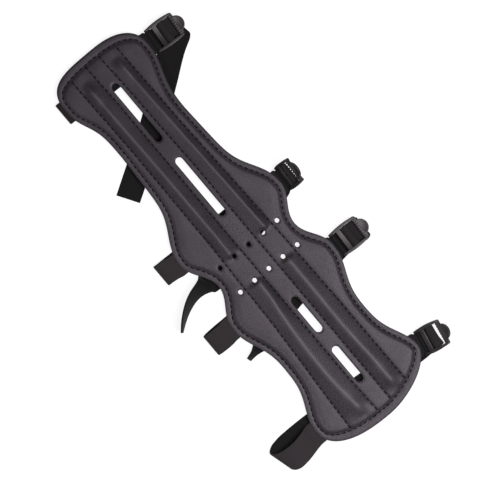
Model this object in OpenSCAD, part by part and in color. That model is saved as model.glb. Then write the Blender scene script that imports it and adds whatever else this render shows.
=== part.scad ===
// Full length archery arm guard, lying face up on its own straps.
// X runs across the guard, towards the buckles. Y runs along it, towards the wrist.
// Z is up, away from the arm. The origin is the middle of the elbow line, on the arm side of the lining.

/* [Panel outline] */
// Elbow line to the wrist end
wrist_reach = 212.5; // [205:0.5:225]
// Elbow line to the upper arm end
upper_reach = 164; // [158:0.5:175]
// Half width at the forearm waist
forearm_half = 32.2; // [30:0.1:36]
// Half width on the elbow line
elbow_half = 37.8; // [36:0.1:41]
// Half width at the upper arm waist
upper_half = 40.5; // [38:0.1:44]
// How far the wrist lobe stands out past the waist
wrist_lobe = 10.6; // [8:0.1:13]
// How far the forearm lobe stands out past the waist
forearm_lobe = 15.8; // [13:0.1:18]
// How far the elbow lobe stands out past the waist
elbow_lobe = 13.6; // [11:0.1:16]
// How far the upper arm lobe stands out past the waist
upper_lobe = 13; // [10:0.1:16]
// Depth of the rounded wrist end
wrist_round = 27.5; // [22:0.5:32]
// Depth of the rounded upper arm end
upper_round = 28; // [22:0.5:32]

/* [Layers] */
// Thickness of the back lining
lining_t = 1.2; // [1:0.1:1.6]
// Thickness of the front leather
leather_t = 1.8; // [1.5:0.1:2.4]
// Thickness of the felt padding between them
padding_t = 1.6; // [1.4:0.1:2.2]
// Space under the lining, which the run and the tail of a strap fill
lift = 4.2; // [4:0.1:6]
// Edge of the panel to its border seam, along the sides
side_seam = 3.8; // [3:0.1:5]
// Edge of the panel to its border seam, at the two ends
end_seam = 6.5; // [5:0.1:8]

/* [Vents] */
// Width of each vent slot
slot_w = 6.4; // [5:0.1:8]
// Length of a forearm slot
forearm_slot = 59; // [50:0.5:62]
// Length of an upper arm slot
upper_slot = 35.3; // [28:0.5:37]
// Elbow line to the nearest forearm slot
forearm_slot_from = 43.2; // [40:0.1:46]
// Elbow line to the nearest upper arm slot
upper_slot_from = 42.6; // [40:0.1:46]
// Leather left between two forearm slots
forearm_bridge = 18.7; // [15:0.1:21]
// Leather left between two upper arm slots
upper_bridge = 15.9; // [13:0.1:18]
// Diameter of a breathing hole
hole_d = 3.9; // [3:0.1:5.5]
// Spacing of the holes along a row
hole_pitch = 14.8; // [13:0.1:16]
// Distance between the two rows of holes
row_gap = 25.2; // [23:0.1:28]

/* [Stays] */
// Diameter of a stay rod
stay_d = 3.4; // [2.5:0.1:3.8]
// Elbow line to the near end of a forearm stay
forearm_stay_from = 17; // [16:0.5:22]
// Length of a forearm stay
forearm_stay = 167; // [140:0.5:170]
// Elbow line to the near end of an upper arm stay
upper_stay_from = 21; // [19:0.5:26]
// Length of an upper arm stay
upper_stay = 120; // [100:0.5:122]
// Half width of the raised channel over a stay
channel_half = 8; // [7:0.1:8.4]
// Height of a channel's crest above the panel
crest_h = 4; // [3.6:0.1:5]

/* [Straps] */
// Width of the elastic
elastic_w = 19.6; // [17:0.1:21]
// Thickness of the elastic
elastic_t = 1.4; // [1.2:0.05:1.5]
// Width of the elastic where a buckle gathers it
threaded_w = 17.4; // [15:0.1:17.6]
// Length of elastic sewn in between the layers
sewn_in = 16; // [12:0.5:20]
// Elbow line to the wrist strap
wrist_strap_y = 187; // [184:0.5:190]
// Elbow line to the forearm strap
forearm_strap_y = 36; // [33:0.5:39]
// Elbow line to the elbow strap, towards the upper arm
elbow_strap_y = 30.5; // [28:0.5:34]
// Elbow line to the upper arm strap
upper_strap_y = 138; // [134:0.5:141]

/* [Buckles] */
// Clear width between the two rails of a buckle
frame_in = 18; // [17.8:0.1:20]
// Thickness of a rail at its ends
rail_t = 1.6; // [1.2:0.1:1.8]
// How far a rail bows out between its ends
rail_bow = 1.1; // [0.6:0.1:1.6]
// Diameter of the round bar that the webbing holds
bar_d = 3; // [2.6:0.1:3.4]
// Radial play of that bar in the webbing
bar_play = 0.08; // [0.04:0.01:0.1]
// Thickness of the webbing
webbing_t = 0.9; // [0.7:0.05:1]
// Width of the webbing
webbing_w = 19.6; // [18:0.1:20]
// Width of the webbing where it folds round the bar
eye_w = 17.4; // [16:0.1:17.4]
// Width of the thumb tab
tab_w = 14; // [12:0.1:16]
// Teeth along the lip
teeth = 8; // [6:1:10]

/* [Hidden] */
$fn = 48;
slack = 0.1;
pocket_gap = 0.3;
seam_z = lining_t;
felt_top = seam_z + padding_t;
face_z = felt_top + leather_t;
margin_t = 2.2;
lining_sink = 0.5;
table_gap = 0.4;
hinge_z = seam_z + 0.6;
// Heights of a strap's parts above the table, which lies at -lift
tail_z = elastic_t / 2;
run_z = tail_z + elastic_t + table_gap;
sewn_z = lift + seam_z - lining_sink + elastic_t / 2;
forearm_waist_y = 130;
upper_waist_y = 86;
lobe_power = 2.4;
STRAP_Y = [wrist_strap_y, forearm_strap_y, -elbow_strap_y, -upper_strap_y];
// One row a lobe: how far it stands out, its spread towards the wrist, and its spread towards the
// upper arm on the strap side and on the buckle side
LOBES = [
    [wrist_lobe, 40, 24, 29],
    [forearm_lobe, 29, 22.5, 22.5],
    [elbow_lobe, 21, 29, 29],
    [upper_lobe, 27, 45, 45]
];
// Shift of the panel towards the sewn straps, at the wrist, the elbow and the upper arm
LEAN = [1, 0.5, 1.5];
// Squareness of the end corners, on the strap side and on the buckle side
WRIST_CORNER = [3.8, 2.8];
UPPER_CORNER = [2.6, 1.8];
// One value a buckle: webbing showing past the panel, tilt of the tab, turn in plan
// and how far the buckle sits from its strap's line, towards the wrist
LOOP_OUT = [4.9, 4.6, 3.5, 3.8];
TILT = [0, 63, 0, 35];
TURN = [-4, -3, -2, -11];
SHIFT = [-0.8, -1.1, -3.1, 1.3];
cross_x = 3.8;
cross_w = 4.3;
mid_x = 12;
mid_z = 0.8;
mid_r = 1;
lip_x = 20;
lip_w = 3.7;
tab_reach = 29;

// Value between a and b, reached at distance d of span s
function ramp(a, b, d, s) = a + (b - a) * min(1, d / s);
function waist(y) = y > 0 ? ramp(elbow_half, forearm_half, y, forearm_waist_y)
    : ramp(elbow_half, upper_half, -y, upper_waist_y);
function lean(y) = y > 0 ? ramp(LEAN[1], LEAN[0], y, forearm_waist_y)
    : ramp(LEAN[1], LEAN[2], -y, upper_waist_y);
function lobe(y, k, side) = let(d = y - STRAP_Y[k], s = d > 0 ? LOBES[k][1] : LOBES[k][side > 0 ? 3 : 2])
    LOBES[k][0] * exp(-pow(abs(d) / s, lobe_power));
function lobes(y, side) = lobe(y, 0, side) + lobe(y, 1, side) + lobe(y, 2, side) + lobe(y, 3, side);
// Distance from the middle line to the edge, on side -1 or 1
function edge_at(y, side) = waist(y) - side * lean(y) + lobes(y, side);

end_steps = 7;
side_steps = 44;
wrist_from = wrist_reach - wrist_round;
upper_from = upper_round - upper_reach;
// A rounded end: a superellipse quarter laid over the side's own width
function end_point(a, side, far, from, n) =
    let(y = from + (far - from) * pow(sin(a), 2 / n)) [side * edge_at(y, side) * pow(cos(a), 2 / n), y];
function side_points(side) = let(k = side > 0 ? 1 : 0) concat(
    [for (i = [end_steps:-1:1]) let(a = 90 * i / end_steps)
        end_point(a, side, -upper_reach, upper_from, UPPER_CORNER[k])],
    [for (i = [0:side_steps]) let(y = upper_from + (wrist_from - upper_from) * i / side_steps)
        [side * edge_at(y, side), y]],
    [for (i = [1:end_steps]) end_point(90 * i / end_steps, side, wrist_reach, wrist_from, WRIST_CORNER[k])]
);
RIGHT = side_points(1);
LEFT = side_points(-1);
OUTLINE = concat(RIGHT, [for (i = [len(LEFT) - 2:-1:1]) LEFT[i]]);
function unit(v) = v / norm(v);
// The outline moved inwards by s along the sides and by e at the ends
function inset(s, e) = let(n = len(OUTLINE)) [for (i = [0:n - 1])
    let(t = unit(OUTLINE[(i + 1) % n] - OUTLINE[(i + n - 1) % n]), d = s + (e - s) * t[0] * t[0])
    OUTLINE[i] - d * [t[1], -t[0]]];

// Triangles that join ring j of n points to the next one
function wall_faces(n, j) = [for (i = [0:n - 1]) let(k = (i + 1) % n, a = j * n, b = a + n)
    each [[a + i, b + k, a + k], [a + i, b + i, b + k]]];
// Closed solid through rings of equal length, flat at both ends
module loft(rings) {
    n = len(rings[0]);
    m = len(rings);
    polyhedron(
        points = [for (r = rings) each r],
        faces = concat(
            [[for (i = [0:n - 1]) i]],
            [for (j = [0:m - 2]) each wall_faces(n, j)],
            [[for (i = [n - 1:-1:0]) (m - 1) * n + i]]
        ),
        convexity = 8
    );
}
// Point i of the left side in the outline, where the two sides share both ends
function left_of(i) = i == 0 || i == len(LEFT) - 1 ? i : len(OUTLINE) - i;
// A cap of the outline, laid from the right side to the left one, as ring j
function cap_faces(j, up) = let(a = j * len(OUTLINE)) [for (i = [0:len(RIGHT) - 2])
    let(p = a + i, q = a + i + 1, r = a + left_of(i + 1), t = a + left_of(i))
    each [for (f = [[p, q, r], [p, r, t]]) if (f[0] != f[1] && f[1] != f[2] && f[0] != f[2])
        up ? [f[2], f[1], f[0]] : f]];
// The panel as [inset along the sides, inset at the ends, height] rows, from the bottom up
module panel_loft(rows) {
    n = len(OUTLINE);
    m = len(rows);
    polyhedron(
        points = [for (r = rows) each [for (p = inset(r[0], r[1])) [p[0], p[1], r[2]]]],
        faces = concat(
            cap_faces(0, false),
            [for (j = [0:m - 2]) each wall_faces(n, j)],
            cap_faces(m - 1, true)
        ),
        convexity = 8
    );
}

// Slots along the middle line, each as its two ends
SLOTS = [
    [forearm_slot_from, forearm_slot_from + forearm_slot],
    [0, forearm_slot] + (forearm_slot_from + forearm_slot + forearm_bridge) * [1, 1],
    [-upper_slot_from - upper_slot, -upper_slot_from],
    [-upper_slot, 0] - (upper_slot_from + upper_slot + upper_bridge) * [1, 1]
];
// How far each slot lies off the middle line
SLOT_X = [0.2, -0.7, -0.4, -0.9];
module vents(grow) {
    r = slot_w / 2 + grow;
    for (i = [0:3]) translate([SLOT_X[i], 0, -1]) {
        s = SLOTS[i];
        for (y = [s[0] + slot_w / 2, s[1] - slot_w / 2]) translate([0, y, 0]) cylinder(r = r, h = 12);
        translate([-r, s[0] + slot_w / 2, 0]) cube([2 * r, s[1] - s[0] - slot_w, 12]);
    }
    for (row = [-1, 1]) for (k = [-2:2])
        translate([k * hole_pitch, row * row_gap / 2, -1]) cylinder(d = hole_d + 2 * grow, h = 12);
}

// Each stay as its near end, its far end and its bow towards the buckles
STAYS = [
    [[-15.5, forearm_stay_from], [-17.9, forearm_stay_from + forearm_stay], 0],
    [[18.5, forearm_stay_from], [14.5, forearm_stay_from + forearm_stay], 0],
    [[-12.9, -upper_stay_from], [-16, -upper_stay_from - upper_stay], -4.6],
    [[17.2, -upper_stay_from], [18.6, -upper_stay_from - upper_stay], -1.8]
];
channel_ramp = 9;
function on_stay(k, u) = let(s = STAYS[k]) s[0] + (s[1] - s[0]) * u + [s[2] * 4 * u * (1 - u), 0];
function stay_len(k) = abs(STAYS[k][1][1] - STAYS[k][0][1]);
// Shares of a stay at which its channel has a ring, from out before it to out after it, towards the wrist
function channel_stops(k, out) = let(
    inner = STAYS[k][2] == 0 ? [0, 1] : [0, 0.17, 0.33, 0.5, 0.67, 0.83, 1],
    stops = concat([-out], inner, [1 + out]), n = len(stops) - 1)
    STAYS[k][1][1] > 0 ? stops : [for (i = [n:-1:0]) stops[i]];
// Leather raised into a tent over a stay, fading into the panel past both ends
module channel_top(k) {
    crest = 0.9;
    out = channel_ramp / stay_len(k);
    loft([for (u = channel_stops(k, out)) let(c = on_stay(k, u),
        h = u < 0 || u > 1 ? 0.05 : crest_h, f = u < 0 || u > 1 ? 0.5 : 1)
        [for (p = [[-channel_half * f, -0.5], [-crest, h], [crest, h], [channel_half * f, -0.5]])
            [c[0] + p[0], c[1], face_z + p[1]]]]);
}
// Space under the channel, which holds the rod
module channel_hollow(k) {
    half = stay_d * 1.9;
    rise = stay_d * 1.24;
    out = 0.8 * stay_d / stay_len(k);
    loft([for (u = channel_stops(k, out)) let(c = on_stay(k, u))
        [for (p = [[-half, -0.3], [0, rise], [half, -0.3]]) [c[0] + p[0], c[1], felt_top + p[1]]]]);
}
function bow_radius(c, b) = (c * c / 4 + b * b) / (2 * b);
module stay(k) {
    s = STAYS[k];
    along = s[1] - s[0];
    chord = norm(along);
    bow = abs(s[2]);
    heading = atan2(along[1], along[0]);
    translate([s[0][0], s[0][1], felt_top + stay_d / 2 + slack / 2]) rotate([0, 0, heading]) {
        if (bow == 0) {
            rotate([0, 90, 0]) cylinder(d = stay_d, h = chord);
            for (x = [0, chord]) translate([x, 0, 0]) sphere(d = stay_d);
        } else {
            r = bow_radius(chord, bow);
            half_angle = asin(chord / 2 / r);
            // 1 where the bow is on the left of the rod, seen from the elbow
            side = sign(s[2]) * (along[1] < 0 ? 1 : -1);
            translate([chord / 2, side * (bow - r), 0]) {
                rotate([0, 0, side * 90 - half_angle]) rotate_extrude(angle = 2 * half_angle, $fn = 720)
                    translate([r, 0]) circle(d = stay_d, $fn = 32);
                for (a = [-half_angle, half_angle]) rotate([0, 0, side * 90 + a]) translate([r, 0, 0])
                    rotate([90, 0, 0]) sphere(d = stay_d, $fn = 32);
            }
        }
    }
}

// Where a strap or a webbing loop enters between the layers
module strap_pockets(z, h) {
    for (k = [0:3]) {
        y = STRAP_Y[k];
        translate([-edge_at(y, -1) - 12, y - elastic_w / 2 - pocket_gap, z])
            cube([sewn_in + 12 + pocket_gap, elastic_w + 2 * pocket_gap, h]);
    }
}
loop_in = 14;
module loop_pockets(z, h) {
    for (k = [0:3]) {
        back = LOOP_OUT[k] + loop_in + pocket_gap;
        translate([hinge_at(k)[0], hinge_at(k)[1], z]) rotate([0, 0, TURN[k]])
            translate([-back, -webbing_w / 2 - pocket_gap, 0])
                cube([back + 3, webbing_w + 2 * pocket_gap, h]);
    }
}

module front_leather() {
    color([0.29, 0.27, 0.29]) difference() {
        union() {
            panel_loft([
                [0, 0, seam_z],
                [0, 0, seam_z + margin_t],
                [side_seam, end_seam, seam_z + margin_t],
                [side_seam + 2.6, end_seam + 2.6, face_z]
            ]);
            for (k = [0:3]) channel_top(k);
        }
        translate([0, 0, seam_z - 1]) linear_extrude(padding_t + 1)
            polygon(inset(side_seam + 1, end_seam + 1));
        for (k = [0:3]) channel_hollow(k);
        strap_pockets(seam_z - 1, elastic_t - lining_sink + 1 + slack / 2);
        loop_pockets(seam_z - 1, 2 * webbing_t - lining_sink + 1 + slack / 2);
        vents(0);
    }
}

module felt_padding() {
    felt_inset = 1.3;
    color([0.45, 0.44, 0.43]) difference() {
        translate([0, 0, seam_z]) linear_extrude(padding_t)
            polygon(inset(side_seam + felt_inset, end_seam + felt_inset));
        strap_pockets(seam_z - 1, padding_t + 2);
        loop_pockets(seam_z - 1, padding_t + 2);
        vents(0.5);
    }
}

module back_lining() {
    color([0.13, 0.13, 0.14]) difference() {
        linear_extrude(lining_t) polygon(OUTLINE);
        strap_pockets(seam_z - lining_sink - slack / 2, 2);
        loop_pockets(seam_z - lining_sink - slack / 2, 2);
        vents(0);
    }
}

module forearm_stay_left() { color([0.75, 0.76, 0.78]) stay(0); }
module forearm_stay_right() { color([0.75, 0.76, 0.78]) stay(1); }
module upper_arm_stay_left() { color([0.75, 0.76, 0.78]) stay(2); }
module upper_arm_stay_right() { color([0.75, 0.76, 0.78]) stay(3); }

function hinge_at(k) = let(y = STRAP_Y[k] + SHIFT[k]) [edge_at(y, 1) + LOOP_OUT[k], y, hinge_z];

// Side view of a doubled webbing, folded round the bar and sewn in flat
module webbing_loop(k) {
    outer = bar_d / 2 + bar_play + webbing_t;
    flat_z = seam_z - lining_sink + webbing_t - hinge_z;
    flat_to = -LOOP_OUT[k] + 0.4 + webbing_w / 2 * abs(sin(TURN[k]));
    back = -LOOP_OUT[k] - loop_in;
    neck = -rail_r - 0.4;
    color([0.1, 0.1, 0.11]) translate(hinge_at(k)) rotate([0, 0, TURN[k]]) difference() {
        rotate([90, 0, 0]) linear_extrude(webbing_w, center = true) difference() {
            union() {
                circle(r = outer);
                polygon([
                    [0, outer], [flat_to, flat_z + webbing_t], [back, flat_z + webbing_t],
                    [back, flat_z - webbing_t], [flat_to, flat_z - webbing_t], [0, -outer]
                ]);
            }
            circle(r = bar_d / 2 + bar_play);
        }
        for (side = [-1, 1]) translate([0, 0, -5]) linear_extrude(10) polygon([
            [neck - 0.7, side * webbing_w / 2 + side], [neck - 0.7, side * webbing_w / 2],
            [neck, side * eye_w / 2], [5, side * eye_w / 2], [5, side * webbing_w / 2 + side]
        ]);
    }
}
module wrist_webbing_loop() { webbing_loop(0); }
module forearm_webbing_loop() { webbing_loop(1); }
module elbow_webbing_loop() { webbing_loop(2); }
module upper_arm_webbing_loop() { webbing_loop(3); }

// Side view of a rail: round at the bar, arched on top, slim at the lip
rail_r = 2.4;
rail_top = 3.3;
rail_front = lip_x + lip_w;
RAIL = concat(
    [for (a = [100:20:260]) rail_r * [cos(a), sin(a)]],
    [for (x = [4, 8, 12, 16, 20]) [x, -1.9 + 0.6 * sin(180 * x / rail_front)]],
    [[rail_front - 0.8, -1.3], [rail_front, -0.5], [rail_front, 1.4], [rail_front - 0.8, 2.2]],
    [for (x = [20, 17, 14, 11, 8, 5, 2])
        [x, rail_r + (rail_top - rail_r) * sin(180 * (x + 2) / (rail_front + 1))]]
);
module across(y0, w) {
    translate([0, y0 + w, 0]) rotate([90, 0, 0]) linear_extrude(w) children();
}
// Plan of the frame: rails that bow out, and round corners at the lip
corner_r = 1.9;
function half_w(x) = frame_in / 2 + rail_t + rail_bow * sin(180 * (x + rail_r) / (rail_front + rail_r));
FRAME_SIDE = concat(
    [for (x = [-rail_r:3:rail_front - corner_r]) [x, half_w(x)]],
    [for (a = [0:30:90]) let(w = half_w(rail_front - corner_r))
        [rail_front - corner_r * (1 - sin(a)), w - corner_r * (1 - cos(a))]]
);
module frame_plan() {
    n = len(FRAME_SIDE);
    polygon(concat(FRAME_SIDE, [for (i = [n - 1:-1:0]) [FRAME_SIDE[i][0], -FRAME_SIDE[i][1]]]));
}
module buckle_body() {
    rail_w = rail_t + rail_bow;
    tab_r = tab_w / 2;
    tab_x = tab_reach - tab_r;
    intersection() {
        union() {
            for (y = [-frame_in / 2 - rail_w, frame_in / 2]) across(y, rail_w) polygon(RAIL);
            across(-frame_in / 2, frame_in) polygon([
                [lip_x, -0.5], [rail_front, -0.5], [rail_front, 1.6], [lip_x + 1, 1.8], [lip_x, 1.1]
            ]);
        }
        translate([0, 0, -5]) linear_extrude(10) frame_plan();
    }
    across(-frame_in / 2, frame_in) circle(d = bar_d);
    across(-frame_in / 2, frame_in) polygon([
        [cross_x, -0.5], [cross_x + cross_w, -0.5], [cross_x + cross_w, 2.1],
        [cross_x + cross_w - 0.4, 2.5], [cross_x + 0.4, 2.5], [cross_x, 2.1]
    ]);
    across(-frame_in / 2, frame_in) translate([mid_x, mid_z]) circle(r = mid_r);
    // Teeth stand on the lip and lean back into the window
    pitch = frame_in / teeth;
    for (i = [0:teeth - 1]) across(-frame_in / 2 + (i + 0.25) * pitch, pitch / 2) polygon([
        [lip_x + 0.3, -0.3], [lip_x + 2.4, -0.3], [lip_x + 2.4, 2.2], [lip_x + 0.5, 2.4], [lip_x - 0.4, 1]
    ]);
    // Dished thumb tab with a raised rim
    difference() {
        translate([tab_x, 0, -0.2]) cylinder(r = tab_r, h = 2);
        translate([tab_x, 0, 1]) cylinder(r = tab_r - 1.2, h = 2);
        translate([-20, -20, -5]) cube([20 + rail_front - 0.4, 40, 10]);
    }
}
module buckle(k) {
    color([0.16, 0.16, 0.17]) translate(hinge_at(k)) rotate([0, -TILT[k], TURN[k]]) buckle_body();
}
module wrist_buckle() { buckle(0); }
module forearm_buckle() { buckle(1); }
module elbow_buckle() { buckle(2); }
module upper_arm_buckle() { buckle(3); }

// A knot of a strap is x, y, height above the table, the turn of its width in plan,
// the lift of its wrist side and its width
function spot(q) = [q[0], q[1], q[2]];
function heading(q, i) = let(n = len(q))
    i == 0 ? unit(spot(q[1]) - spot(q[0])) : i == n - 1 ? unit(spot(q[i]) - spot(q[i - 1]))
    : let(a = spot(q[i]) - spot(q[i - 1]), b = spot(q[i + 1]) - spot(q[i]))
        unit(a * norm(b) / norm(a) + b * norm(a) / norm(b));
// Point at share t between knots i and i + 1, on a cubic that keeps both headings
function curve_at(q, i, t) =
    let(a = spot(q[i]), b = spot(q[i + 1]), n = norm(b - a), t2 = t * t, t3 = t2 * t)
    (2 * t3 - 3 * t2 + 1) * a + (t3 - 2 * t2 + t) * n * heading(q, i)
    + (3 * t2 - 2 * t3) * b + (t3 - t2) * n * heading(q, i + 1);
strap_steps = 3;
// Lowest height at which a strap of that roll and width still lies on the table
function resting(e) = elastic_t / 2 * cos(e[4]) + e[5] / 2 * abs(sin(e[4]));
function strap_line(q) = concat(
    [for (i = [0:len(q) - 2]) for (s = [0:strap_steps - 1]) let(t = s / strap_steps, p = curve_at(q, i, t),
        e = q[i] + (q[i + 1] - q[i]) * t) [p[0], p[1], max(p[2], resting(e)), e[3], e[4], e[5]]],
    [q[len(q) - 1]]
);
module ribbon(q) {
    line = strap_line(q);
    translate([0, 0, -lift]) loft([for (i = [0:len(line) - 1]) let(c = line[i],
        w = [sin(c[3]) * cos(c[4]), cos(c[3]) * cos(c[4]), sin(c[4])] * c[5] / 2,
        n = unit(cross(w, heading(line, i))) * elastic_t / 2)
        [spot(c) + w - n, spot(c) - w - n, spot(c) - w + n, spot(c) + w + n]]);
}
// Knot on buckle k, at lx along its frame and lz above it
function at_buckle(k, lx, lz) = let(a = TILT[k], h = hinge_at(k), x = lx * cos(a) - lz * sin(a))
    [h[0] + x * cos(TURN[k]), h[1] + x * sin(TURN[k]), lift + h[2] + lx * sin(a) + lz * cos(a), -TURN[k], 0,
        threaded_w];
// Up behind the middle bar, over it and down before the lip, closer round it on a steep buckle
function through_windows(k) = concat([
    at_buckle(k, mid_x - 3.1, -1.3), at_buckle(k, mid_x - 2.35, mid_z + 0.5),
    at_buckle(k, mid_x, mid_z + mid_r + elastic_t / 2 + 0.2)
], TILT[k] > 50 ? [
    at_buckle(k, mid_x + 1.75, mid_z + 0.85), at_buckle(k, mid_x + 1.95, mid_z - 0.45),
    at_buckle(k, mid_x + 1.2, mid_z - 1.7)
] : [
    at_buckle(k, mid_x + 2.3, mid_z + 0.4), at_buckle(k, mid_x + 2.9, -0.9)
]);
// From the run up to a buckle that lies flat
function flat_approach(k) = let(h = hinge_at(k), w = threaded_w) [
    [h[0] - 6, h[1], run_z, 0, 0, w],
    [h[0] + 5, h[1] + 5 * sin(TURN[k]), run_z, -TURN[k], 0, w],
    [h[0] + 7.8, h[1] + 8 * sin(TURN[k]), run_z + 0.5, -TURN[k], 0, w]
];
// Out under the lip of a flat buckle and back below it
function flat_leave(k, yaw, drop) = let(h = hinge_at(k), w = threaded_w) [
    at_buckle(k, lip_x - 1, -1.4), at_buckle(k, lip_x + 2.3, -1.45),
    at_buckle(k, lip_x + 4.4, -3.3) + [0, drop * 0.3, 0, yaw * 0.3, 0, 0],
    [h[0] + lip_x + 2.2, h[1] + (lip_x + 2.4) * sin(TURN[k]) + drop, tail_z, yaw * 0.7, 0, w]
];
// From the run up to a buckle that is tilted, clear of the webbing eye
function tilted_approach(k) = let(h = hinge_at(k), w = threaded_w, c = cos(TURN[k]), s = sin(TURN[k])) [
    [h[0] - 8, h[1] - 6 * s, run_z, -0.4 * TURN[k], 0, w],
    [h[0] - 3 * c, h[1] - 3 * s, run_z - 0.05, -0.85 * TURN[k], 0, w],
    [h[0] + 1.8 * c, h[1] + 1.8 * s, lift + h[2] - 3.1, -TURN[k], 0, w],
    at_buckle(k, 6.2, -2.5) + [0, 0, TILT[k] > 50 ? -0.2 : 0, 0, 0, 0]
];
// Straight down to the table from a tilted buckle, and back below it
function tilted_leave(k, yaw) = let(q = through_windows(k), e = q[len(q) - 1], w = threaded_w) [
    [e[0] + 0.2, e[1], e[2] * 0.72, 0.1 * yaw, 0, w],
    [e[0], e[1], e[2] * 0.4, 0.2 * yaw, 0, w],
    [e[0] - 1.8, e[1], 2.6, 0.4 * yaw, 0, w],
    [e[0] - 4.6, e[1] - 0.3, 1.1, 0.7 * yaw, 0, w],
    [e[0] - 8.6, e[1] - 0.5, tail_z, 0.8 * yaw, 0, w]
];

wrist_edge = -edge_at(STRAP_Y[0], -1);
WRIST_KNOTS = concat(
    let(y = STRAP_Y[0], w = elastic_w, e = wrist_edge, turn = (sewn_z - run_z) / 2) [
        [e + sewn_in, y, sewn_z, 0, 0, w], [e - 0.1, y, sewn_z, 0, 0, w], [e - 1.4, y, sewn_z, 0, 0, w],
        [e - 1.4 - turn * 0.7, y, sewn_z - turn * 0.3, 0, 0, w],
        [e - 1.4 - turn, y, sewn_z - turn, 0, 0, w],
        [e - 1.4 - turn * 0.7, y, run_z + turn * 0.3, 0, 0, w], [e - 1.4, y, run_z, 0, 0, w],
        [e - 0.1, y, run_z, 0, 0, w], [e + 10, y - 0.3, run_z, 2, 0, w], [-2, y - 2.3, run_z, 5, 0, w],
        [22, y - 2.4, run_z, 0, 0, w]
    ],
    flat_approach(0), through_windows(0), flat_leave(0, -33.5, -5),
    let(w = elastic_w) [
        [61, 174.7, tail_z, -33.5, 0, w], [33, 156.1, tail_z, -33.5, 0, w], [0, 134.3, tail_z, -33.5, 0, w],
        [-30, 114.4, tail_z, -33.5, 0, w], [-50.5, 100.9, tail_z, -33.5, 0, w]
    ]
);
module wrist_strap() { color([0.12, 0.12, 0.12]) ribbon(WRIST_KNOTS); }

forearm_edge = -edge_at(STRAP_Y[1], -1);
FOREARM_KNOTS = concat(
    let(y = STRAP_Y[1], w = elastic_w, e = forearm_edge) [
        [e + sewn_in, y, sewn_z, 0, 0, w], [e - 0.2, y, sewn_z, 0, 0, w], [e - 2.5, y, sewn_z, 0, 0, w],
        [e - 8, y + 1, sewn_z + 0.9, -3, 0, w],
        [e - 14.5, y + 1.8, sewn_z + 0.4, 0, 0, w], [e - 17, y + 1.9, 3.6, 0, 0, w],
        [e - 14.5, y + 1.8, 1.2, 0, 0, w], [e - 8, y + 1.7, tail_z, 0, 0, w],
        [e - 1, y + 1.5, 1.6, 0, 0, w],
        [e + 8, y + 1.2, run_z, 0, 0, w], [10, y + 0.6, run_z, 0, 0, w]
    ],
    tilted_approach(1), through_windows(1), tilted_leave(1, -15.6),
    let(w = elastic_w) [
        [48, 31.8, tail_z, -15.6, 0, w], [14.8, 22.5, tail_z, -15.6, 0, w], [-15, 14.2, tail_z, -14, 0, w],
        [-34, 9.8, tail_z, -9, 0, w], [-45, 9.1, 1.15, -5, 0.8, w], [-51.5, 8.7, 4.8, -6, 25, w],
        [-58, 7.8, 7.3, -11, 45, w], [-66, 5.4, 8.5, -19, 58, w], [-74, 1.8, 9.3, -28, 70, w],
        [-80.5, -2.4, 9.6, -35, 80, w], [-85.5, -6.6, 9.65, -40, 87, w]
    ]
);
module forearm_strap() { color([0.12, 0.12, 0.12]) ribbon(FOREARM_KNOTS); }

elbow_edge = -edge_at(STRAP_Y[2], -1);
ELBOW_KNOTS = concat(
    let(y = STRAP_Y[2], w = elastic_w, e = elbow_edge) [
        [e + sewn_in, y, sewn_z, 0, 0, w], [e - 0.2, y, sewn_z, 0, 0, w], [e - 2.5, y, sewn_z, 0, 0, w],
        [e - 8, y - 0.6, sewn_z + 1.6, 0, 0, w],
        [e - 16, y - 0.6, sewn_z + 2, 0, 0, w], [e - 20, y - 0.3, 6.6, 0, 0, w],
        [e - 21.6, y, 4.3, 0, 0, w],
        [e - 20, y + 0.4, 2, 0, 0, w], [e - 15, y + 0.7, 0.9, 0, 0, w], [e - 8, y + 0.8, tail_z, 0, 0, w],
        [e - 1, y + 0.8, 1.6, 0, 0, w], [e + 8, y + 0.9, run_z, 0, 0, w], [10, y + 0.6, run_z, 0, 0, w]
    ],
    flat_approach(2), through_windows(2), flat_leave(2, -7, -2),
    let(w = elastic_w) [
        [66, -35, tail_z, -7, 0, w], [30, -38.6, tail_z, -7, 0, w], [0, -42.2, tail_z, -10, 0, w],
        [-30, -49.4, tail_z, -15, 0, w], [-41, -52.8, 0.8, -15, 0.6, 18.8],
        [-47.5, -54.6, 1.2, -15, 2.5, 18.2], [-51, -55.3, 3.1, -14, 16, 17.2],
        [-54, -55.9, 5.6, -13, 38, 16.2], [-57, -56.5, 6.9, -12, 56, 15.4],
        [-60, -57, 7.2, -12, 64, 15]
    ]
);
module elbow_strap() { color([0.12, 0.12, 0.12]) ribbon(ELBOW_KNOTS); }

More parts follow.
